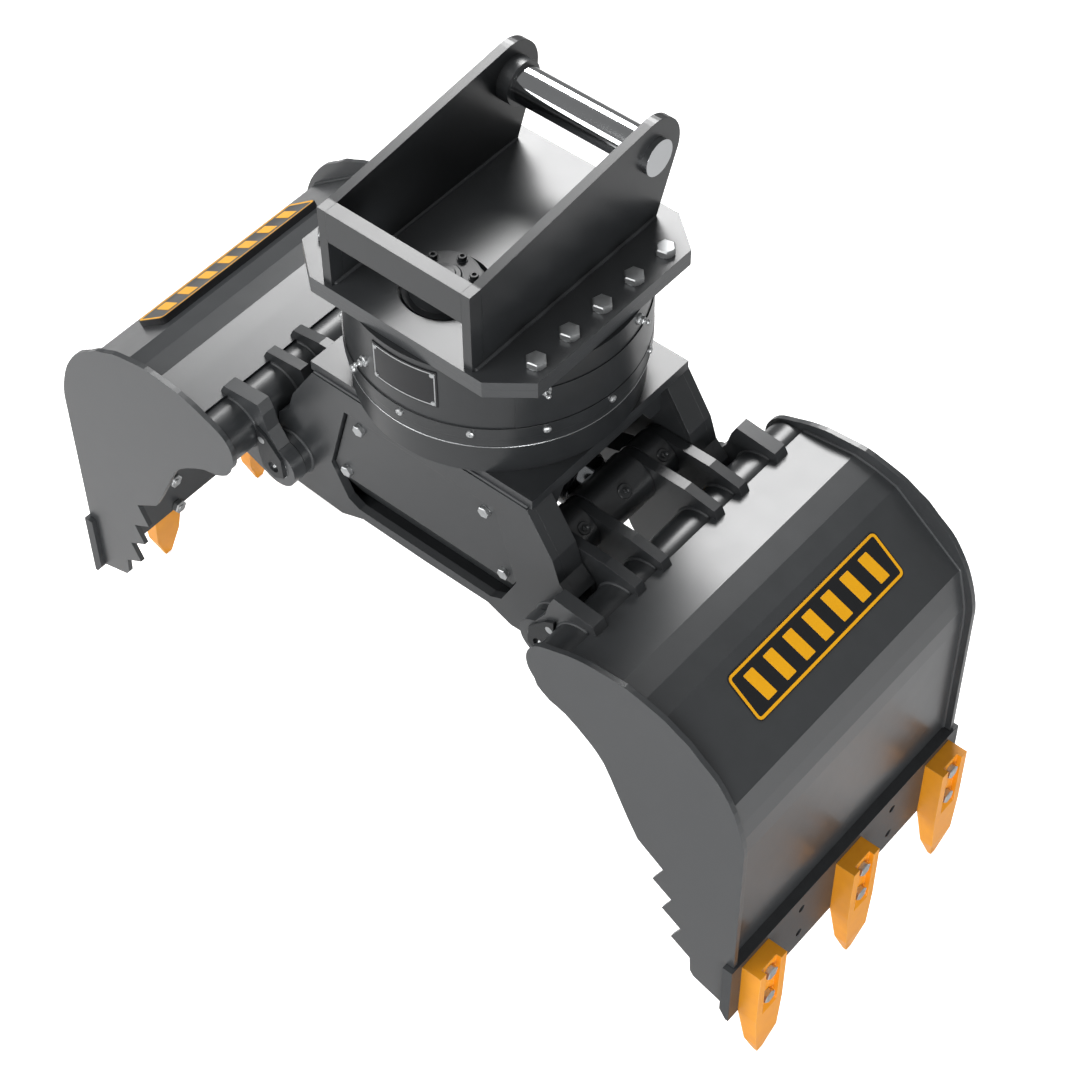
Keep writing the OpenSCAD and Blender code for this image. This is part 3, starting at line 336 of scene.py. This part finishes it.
def solids_of(node):
    """Lowest and highest corner of each loose solid of a CAD node."""
    merged = bmesh.new()
    merged.from_mesh(nodes[node].data)
    bmesh.ops.remove_doubles(merged, verts=merged.verts, dist=1e-5)
    seen, found = set(), []
    for start in merged.verts:
        if start in seen:
            continue
        seen.add(start)
        group, reach = [], [start]
        while reach:
            vert = reach.pop()
            group.append(vert.co)
            for near in (edge.other_vert(vert) for edge in vert.link_edges):
                if near not in seen:
                    seen.add(near)
                    reach.append(near)
        found.append((Vector([min(co[i] for co in group) for i in range(3)]),
                      Vector([max(co[i] for co in group) for i in range(3)])))
    merged.free()
    return found


# Bolts of the base plate and of the arm covers
seat_places = [(((low.x + high.x) / 2, (low.y + high.y) / 2, SEAT_Z), (0, 0, 1))
               for low, high in solids_of("adapter_bolts")]
bolts("base_plate_bolts", 24, seat_places, "bracket", ["adapter_bolts"])
cover_places = []
for low, high in solids_of("cover_bolts"):
    way = 1 if (low.y + high.y) > 0 else -1
    cover_places.append((((low.x + high.x) / 2, way * COVER_Y, (low.z + high.z) / 2), (0, way, 0)))
bolts("arm_cover_bolts", 16, cover_places, "frame", ["cover_bolts"])

# Tooth bolts: a head in the pocket of the tooth, the shank, and a nut inside the shell. Heights
# count outwards from the head's seat, which lies 36 mm beyond the blade's outer face
TOOTH_SEAT = 0.036
TOOTH_SHANK = [(0, -94), (8.2, -94), (9.7, -92), (9.7, 0.5), (0, 0.5)]
TOOTH_NUT = [(9.7, -91.0), (14.5, -91.0), (18.4, -89.0), (18.4, -77.0), (16.5, -75.2),
             (9.7, -75.2)]
for side_name, side in SIDES:
    shape = bmesh.new()
    for low, high in solids_of(side_name + "_tooth_bolts"):
        at = (side * (BLADE_X + TOOTH_SEAT), (low.y + high.y) / 2, (low.z + high.z) / 2)
        place = facing(at, (side, 0, 0))
        bolt_shape(shape, 20, place)
        turned_shape(shape, TOOTH_SHANK, 20, place)
        turned_shape(shape, TOOTH_NUT, 6, place)
    put(side_name + "_tooth_fasteners", shape, [zinc], side_name + "_shell", 25,
        [side_name + "_tooth_bolts"])


def bead(shape, path, radius_mm, pitch_mm=5.0, closed=False):
    """A weld bead along a path of points: a tube whose radius swells and dips at each ripple."""
    crest, dip, tip = 1.0, 0.84, 0.55
    path = [Vector(p) for p in path]
    if closed:
        path = path + [path[0]]
    # Two rings to each ripple
    stations, along = [], 0.0
    step = pitch_mm / 2000
    for start, end in zip(path, path[1:]):
        length = (end - start).length
        while along < length:
            stations.append((start.lerp(end, along / length), (end - start).normalized()))
            along += step
        along -= length
    rings = []
    for k, (at, way) in enumerate(stations):
        swell = crest if k % 2 == 0 else dip
        if not closed and k in (0, len(stations) - 1):
            swell = tip
        ring = bmesh.ops.create_circle(shape, segments=8, radius=radius_mm / 1000 * swell,
                                       matrix=facing(at, way))["verts"]
        rings.append(edges_of(ring))
    for first, second in zip(rings, rings[1:]):
        bmesh.ops.bridge_loops(shape, edges=first + second)
    if closed:
        bmesh.ops.bridge_loops(shape, edges=rings[-1] + rings[0])
    else:
        for ring in (rings[0], rings[-1]):
            bmesh.ops.edgeloop_fill(shape, edges=ring)


def weld(name, paths, body, radius_mm=5.0, closed=False):
    """One piece of painted weld beads."""
    shape = bmesh.new()
    for path in paths:
        bead(shape, path, radius_mm, closed=closed)
    bmesh.ops.recalc_face_normals(shape, faces=shape.faces)
    put(name, shape, [weld_metal], body, 70)


def arc_about_y(centre, radius, start_deg=0.0, end_deg=360.0, steps=48):
    """Points of an arc about a line along Y; a full turn doesn't repeat its first point."""
    points = steps if end_deg - start_deg >= 360 else steps + 1
    angles = [math.radians(start_deg + (end_deg - start_deg) * k / steps) for k in range(points)]
    return [(centre[0] + radius * math.cos(a), centre[1], centre[2] + radius * math.sin(a))
            for a in angles]


def shell_point(side, x_mm, y, z_mm):
    """A point of a shell, from the offsets of its pivot."""
    return (side * (PIVOT_X + x_mm / 1000), y, PIVOT_Z + z_mm / 1000)


# Seams of the skin along both side plates, and of ribs and ears round the torsion tube
for side_name, side in SIDES:
    seams = [[shell_point(side, x, way * SHELL_Y, z) for x, z in SKIN] for way in WAYS]
    weld(side_name + "_skin_welds", seams, side_name + "_shell")
    arc = arc_about_y((0, 0, 0), TUBE_R, *TUBE_ARC_DEG, steps=30)
    rounds = [[shell_point(side, TUBE_AT[0] + x, way * y, TUBE_AT[1] + z) for x, _, z in arc]
              for y in RIB_YS + EAR_YS for way in WAYS]
    weld(side_name + "_tube_welds", rounds, side_name + "_shell", radius_mm=4.5)

# Seams of the bracket: both faces of each cheek on the base plate, and the ends of the front bar
cheek_low, cheek_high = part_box("right_cheek")
CHEEK_SEAM_Y = (cheek_low.y + 0.006, 0.262)
weld("cheek_welds", [[(way * x, y, SEAT_Z) for y in CHEEK_SEAM_Y]
                     for way in WAYS for x in (cheek_low.x, cheek_high.x)], "bracket",
     radius_mm=6.0)
bar_low, bar_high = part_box("front_cross_bar")
weld("cross_bar_welds", [[(way * bar_high.x, bar_high.y, z)
                          for z in (bar_low.z + 0.004, bar_high.z - 0.004)] for way in WAYS],
     "bracket")

# Seams of the frame: round the pivot hubs, and under the top plate along the arms
HUB_R = 0.055
TOP_SEAM_X, TOP_SEAM_Y = 0.29, ARM_Y - 0.0075
weld("pivot_hub_welds", [arc_about_y((x, way * ARM_Y, PIVOT_Z), HUB_R)
                         for x in (PIVOT_X, -PIVOT_X) for way in WAYS], "frame", closed=True)
top_plate_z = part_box("frame_top_plate")[0].z
weld("top_plate_welds", [[(x, way * TOP_SEAM_Y, top_plate_z) for x in (-TOP_SEAM_X, TOP_SEAM_X)]
                         for way in WAYS], "frame")


def nipple(shape, at, out, scale=1.0):
    """A grease nipple: hexagon foot, neck and ball head."""
    place = facing(at, out) @ Matrix.Scale(scale, 4)
    foot = [(0, 0), (6.5, 0), (7.5, 1), (7.5, 5), (6.5, 6), (0, 6)]
    neck_and_ball = [(0, 5.5), (4.6, 5.5), (3.4, 8.0), (3.2, 10), (4.8, 11.5), (4.9, 13),
                     (3.4, 15.4), (1.6, 16.4), (0, 16.4)]
    turned_shape(shape, foot, 6, place)
    turned_shape(shape, neck_and_ball, 16, place)


def boss(shape, at, out, radius_mm, height_mm):
    """A low round boss with a broken edge, rooted 8 mm deep."""
    profile = [(0, -8), (radius_mm, -8), (radius_mm, height_mm - 2), (radius_mm - 2, height_mm),
               (0, height_mm)]
    turned_shape(shape, profile, 28, facing(at, out))


# Nipples of the pivot pins, sunk in the holes of the lock plates
for side_name, side in SIDES:
    shape = bmesh.new()
    foot_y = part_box(side_name + "_pivot_pins")[1].y - 0.011
    for way in WAYS:
        nipple(shape, (side * PIVOT_X, way * foot_y, PIVOT_Z), (0, way, 0), 1.1)
    put(side_name + "_pivot_nipples", shape, [zinc], side_name + "_shell")


def greasing_point(name, pin, side, reach, radius_mm, height_mm, body):
    """A painted boss with its nipple on an eye, up and outwards from the middle of its pin."""
    shape = bmesh.new()
    way = Vector((side * 0.64, 0, 0.77))
    at = Vector(pin) + way * reach
    boss(shape, at, way, radius_mm, height_mm)
    nipple(shape, at + way * 0.004, way)
    # The boss and its nipple take the coat darkened as painted shade
    put(name, shape, [shade_painted_coat], body)


# Greasing points on the eyes of the rod, the barrel and the two links
LINK_Y = 0.1285
for side_name, side, body in (("right", 1, "rod"), ("left", -1, "barrel")):
    greasing_point(side_name + "_eye_nipple", (side * LEVER_X, 0, LEVER_Z), side, 0.058, 17, 5,
                   body)
for link, way_y in (("front_link", -1), ("rear_link", 1)):
    greasing_point(link + "_nipple", (LEVER_X, way_y * LINK_Y, LEVER_Z), 1, 0.0565, 15, 4, link)

# Greasing points of the rotator housing: where they are round it, in degrees, and their height
HOUSING_POINTS = ((-106, 1.420), (-32, 1.466), (13, 1.500), (100, 1.43), (160, 1.45))
shape = bmesh.new()
for deg, z in HOUSING_POINTS:
    a = math.radians(deg)
    out = Vector((math.cos(a), math.sin(a), 0))
    at = out * (HOUSING_R + 0.002) + Vector((0, 0, z))
    boss(shape, at, out, 12, 3)
    nipple(shape, at + out * 0.003, out, 1.15)
put("housing_nipples", shape, [zinc], "bracket")

# Screws on the lower edge of the housing, with domed heads and a round recess
DOMED_HEAD = [(0, 0), (8.5, 0), (8.5, 2.0), (7.6, 4.2), (5.0, 5.6), (3, 5.8), (3, 4.0), (0, 4.0)]
shape = bmesh.new()
for low, high in solids_of("housing_screws"):
    middle = (low + high) / 2
    out = Vector((middle.x, middle.y, 0)).normalized()
    at = out * (HOUSING_R + 0.003) + Vector((0, 0, middle.z))
    turned_shape(shape, DOMED_HEAD, 20, facing(at, out))
put("housing_domed_screws", shape, [zinc], "bracket", stands_for=["housing_screws"])

# Socket screws of the slewing motor on their washers, and the stepped cap between them
WASHER = [(4, 0), (11.5, 0), (11.5, 1.8), (4, 1.8)]
SOCKET_HEAD = [(0, 1.8), (8.4, 1.8), (9, 2.4), (9, 9.6), (8.2, 10.6), (4.6, 10.6), (4.6, 6),
               (0, 6)]
MOTOR_CAP = [(0, 0), (34, 0), (34, 4), (31, 7), (22, 8), (20, 11), (12, 12), (0, 12)]
motor_low, motor_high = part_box("slew_motor")
shape = bmesh.new()
for low, high in solids_of("slew_motor_bolts"):
    place = Matrix.Translation(((low.x + high.x) / 2, (low.y + high.y) / 2, motor_high.z))
    turned_shape(shape, WASHER, 24, place)
    turned_shape(shape, SOCKET_HEAD, 24, place)
put("motor_screws", shape, [cast_black], "bracket",
    stands_for=["slew_motor_bolts"])
shape = bmesh.new()
turned_shape(shape, MOTOR_CAP, 40,
             Matrix.Translation((0, (motor_low.y + motor_high.y) / 2, motor_high.z)))
put("motor_cap", shape, [cast_black], "bracket")


def sign(name, side, along_mm, y_range, body, thick_mm, lift_mm):
    """A rounded sign plate on the wide facet of a shell: amber border and bars on black.

    along_mm is its span down the facet, y_range its span in mm along Y, and lift_mm its clearance.
    """
    start, end = (Vector((x, 0, z)) for x, z in SIGN_FACET)
    down = (end - start).normalized()
    normal = Vector((-down.z, 0, down.x))
    if normal.z < 0:
        normal = -normal
    middle = start + down * (sum(along_mm) / 2)
    length, width = (y_range[1] - y_range[0]), (along_mm[1] - along_mm[0])
    turn = Matrix((Vector((0, 1, 0)), down, normal)).transposed().to_4x4()
    shape = bmesh.new()

    def slab(cx, w, h, low, high, corner, index, skew=0.0):
        """One rounded block in mm on the facet, cx along it; gives the faces of its top."""
        made = bmesh.ops.create_grid(shape, x_segments=1, y_segments=1, size=0.5)["verts"]
        for vert in made:
            vert.co = Vector((cx + vert.co.x * w + skew * vert.co.y, vert.co.y * h, low))
        made = bmesh.ops.bevel(shape, geom=made, offset=corner, segments=6, profile=0.5,
                               affect="VERTICES", material=-1)["verts"]
        grown = bmesh.ops.extrude_face_region(shape, geom=faces_of(made),
                                              use_keep_orig=True)["geom"]
        top = [g for g in grown if isinstance(g, bmesh.types.BMVert)]
        bmesh.ops.translate(shape, verts=top, vec=(0, 0, high - low))
        for face in faces_of(made + top):
            face.material_index = index
        return [g for g in grown if isinstance(g, bmesh.types.BMFace)]

    black, amber = 0, 1
    # The amber edge is 6.5 mm wide and stands 0.8 mm over the plate, round a lower black field
    raised = thick_mm + 0.8
    slab(0, length, width, 0, thick_mm, 14, black)
    field = slab(0, length - 5, width - 5, thick_mm, raised, 12, amber)
    bmesh.ops.inset_region(shape, faces=field, thickness=6.5, use_even_offset=True)
    for face in field:
        face.material_index = black
    bmesh.ops.translate(shape, verts=list({v for f in field for v in f.verts}), vec=(0, 0, -0.6))
    # Seven slanted bars share the length but for 48 mm, and end 22 mm from the long sides
    count = 7
    pitch = (length - 48) / count
    for k in range(count):
        slab((k - (count - 1) / 2) * pitch, pitch * 0.46, width - 44, thick_mm - 0.3, raised, 2,
             amber, skew=12)
    place = Matrix.Translation(middle + normal * lift_mm) @ turn
    bmesh.ops.transform(shape, matrix=Matrix.Scale(0.001, 4) @ place, verts=shape.verts)
    bmesh.ops.translate(shape, verts=shape.verts,
                        vec=(PIVOT_X, (y_range[0] + y_range[1]) / 2000, PIVOT_Z))
    if side < 0:
        bmesh.ops.scale(shape, vec=(-1, 1, 1), verts=shape.verts)
    bmesh.ops.recalc_face_normals(shape, faces=shape.faces)
    put(name, shape, [sign_black, sign_amber], body)


sign("right_sign", 1, (28, 143), (-220, 273), "right_shell", thick_mm=1.2, lift_mm=0.1)
sign("left_sign", -1, (34, 149), (-235, 258), "left_shell", thick_mm=16, lift_mm=0.0)

# Two thin beads of bright steel on the edges of the bearing's outer race, as painted highlights
HIGHLIGHT_BEAD_R = 0.0013
race_low, race_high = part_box("bearing_outer_race")
shape = bmesh.new()
for z in (race_low.z + 0.002, race_high.z - 0.0015):
    section = Matrix.Translation((race_high.x + 0.0003, 0, z)) @ Matrix.Rotation(
        math.radians(90), 4, "X")
    rim = bmesh.ops.create_circle(shape, segments=8, radius=HIGHLIGHT_BEAD_R, matrix=section)["verts"]
    bmesh.ops.spin(shape, geom=rim + edges_of(rim), cent=(0, 0, 0), axis=(0, 0, 1),
                   angle=math.tau, steps=160, use_merge=True)
bmesh.ops.remove_doubles(shape, verts=shape.verts, dist=1e-6)
bmesh.ops.recalc_face_normals(shape, faces=shape.faces)
put("race_painted_highlight_beads", shape, [ground_steel], "bracket", 60)

# Border of the type plate, bent round the housing: heights over its lower edge, and degrees
BORDER_STRIPS = ((0.004, 0.0065, -98.6, -71.4), (0.0905, 0.093, -98.6, -71.4),
                 (0.004, 0.093, -98.6, -98.1), (0.004, 0.093, -71.9, -71.4))
BORDER_R = HOUSING_R + 0.0028
plate_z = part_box("type_plate")[0].z
shape = bmesh.new()
for low, high, from_deg, to_deg in BORDER_STRIPS:
    a = math.radians(from_deg)
    ends = [shape.verts.new((BORDER_R * math.cos(a), BORDER_R * math.sin(a), plate_z + rise))
            for rise in (low, high)]
    bmesh.ops.spin(shape, geom=ends + [shape.edges.new(ends)], cent=(0, 0, 0), axis=(0, 0, 1),
                   angle=math.radians(to_deg - from_deg),
                   steps=max(1, int((to_deg - from_deg) / 2)), use_merge=False)
bmesh.ops.remove_doubles(shape, verts=shape.verts, dist=1e-6)
bmesh.ops.recalc_face_normals(shape, faces=shape.faces)
bmesh.ops.solidify(shape, geom=shape.faces[:], thickness=0.0006)
put("type_plate_border", shape, [zinc], "bracket")


def for_camera(tree, plain, seen):
    """Mixes two shaders: plain lights the object, seen is what the camera sees."""
    path = add(tree, "LightPath")
    return add(tree, "MixShader", {0: path.outputs["Is Camera Ray"], 1: plain.outputs[0],
                                   2: seen.outputs[0]})


# Pale floor of matt paint, white to the camera but for the soft shadow that it keeps
floor_mesh = bpy.data.meshes.new("studio_floor")
floor_shape = bmesh.new()
bmesh.ops.create_grid(floor_shape, x_segments=1, y_segments=1, size=30)
floor_shape.to_mesh(floor_mesh)
floor_shape.free()
floor = bpy.data.objects.new("studio_floor", floor_mesh)
floor.location = (0, 0, -0.001)
bpy.context.scene.collection.objects.link(floor)
pale = bpy.data.materials.new("pale_floor")
pale.use_nodes = True
tree = pale.node_tree
tree.nodes.clear()
matt = add(tree, "BsdfDiffuse", {"Color": linear("#e6e6e6")})
bright = add(tree, "BsdfDiffuse", {"Color": linear("#ffffff")})
glow = add(tree, "Emission", {"Color": linear("#ffffff"), "Strength": 0.8})
lifted = add(tree, "AddShader", {0: bright.outputs[0], 1: glow.outputs[0]})
add(tree, "OutputMaterial", {"Surface": for_camera(tree, matt, lifted).outputs[0]})
floor_mesh.materials.append(pale)

# White studio air, which adds only a little light to the object
world = bpy.data.worlds.new("studio")
bpy.context.scene.world = world
world.use_nodes = True
tree = world.node_tree
tree.nodes.clear()
air = add(tree, "Background", {"Color": linear("#ffffff"), "Strength": 0.22})
white = add(tree, "Background", {"Color": linear("#ffffff"), "Strength": 1.0})
add(tree, "OutputWorld", {"Surface": for_camera(tree, air, white).outputs[0]})

# Middle of the grapple, which the lamps face
LAMP_AIM = Vector((0, 0, 0.9))


def softbox(name, direction, distance, size, watts):
    """A rectangular studio light that faces the middle of the grapple."""
    lamp = bpy.data.lights.new(name, "AREA")
    lamp.shape = "RECTANGLE"
    lamp.size, lamp.size_y = size
    lamp.energy = watts
    light = bpy.data.objects.new(name, lamp)
    way = Vector(direction).normalized()
    light.location = LAMP_AIM + way * distance
    light.rotation_mode = "QUATERNION"
    light.rotation_quaternion = way.to_track_quat("Z", "Y")
    bpy.context.scene.collection.objects.link(light)


# Overhead bank behind the object, whose reflection lies on the crowns of the shells
softbox("overhead_bank", (-2.5, 3.3, 4.0), distance=5.8, size=(2.6, 2.3), watts=250)
softbox("front_fill", (-0.45, -0.85, 0.3), distance=6.0, size=(3.5, 2.5), watts=140)
softbox("side_fill", (0.85, -0.55, 0.08), distance=6.0, size=(2.5, 2.0), watts=190)
softbox("top_fill", (-0.15, -0.6, 1.0), distance=6.0, size=(3.0, 3.0), watts=90)

# Camera of the photograph, solved from the edges of the object in it
PHOTO_PX = 1080
FOCAL_PX = 2633.76
SENSOR_MM = 36.0
ROLL_DEG = -0.7255
LOOKING = Vector((-0.41693, 0.48437, -0.76913)).normalized()
camera_data = bpy.data.cameras.new("photo_camera")
camera_data.sensor_width = SENSOR_MM
camera_data.lens = FOCAL_PX / PHOTO_PX * SENSOR_MM
camera_data.clip_start, camera_data.clip_end = 0.1, 100.0
camera = bpy.data.objects.new("photo_camera", camera_data)
camera.location = (2.4965, -2.7801, 5.1540)
camera.rotation_mode = "QUATERNION"
camera.rotation_quaternion = (LOOKING.to_track_quat("-Z", "Y")
                              @ Matrix.Rotation(math.radians(ROLL_DEG), 3, "Z").to_quaternion())
bpy.context.scene.collection.objects.link(camera)
bpy.context.scene.camera = camera
bpy.context.scene.view_settings.view_transform = "Standard"
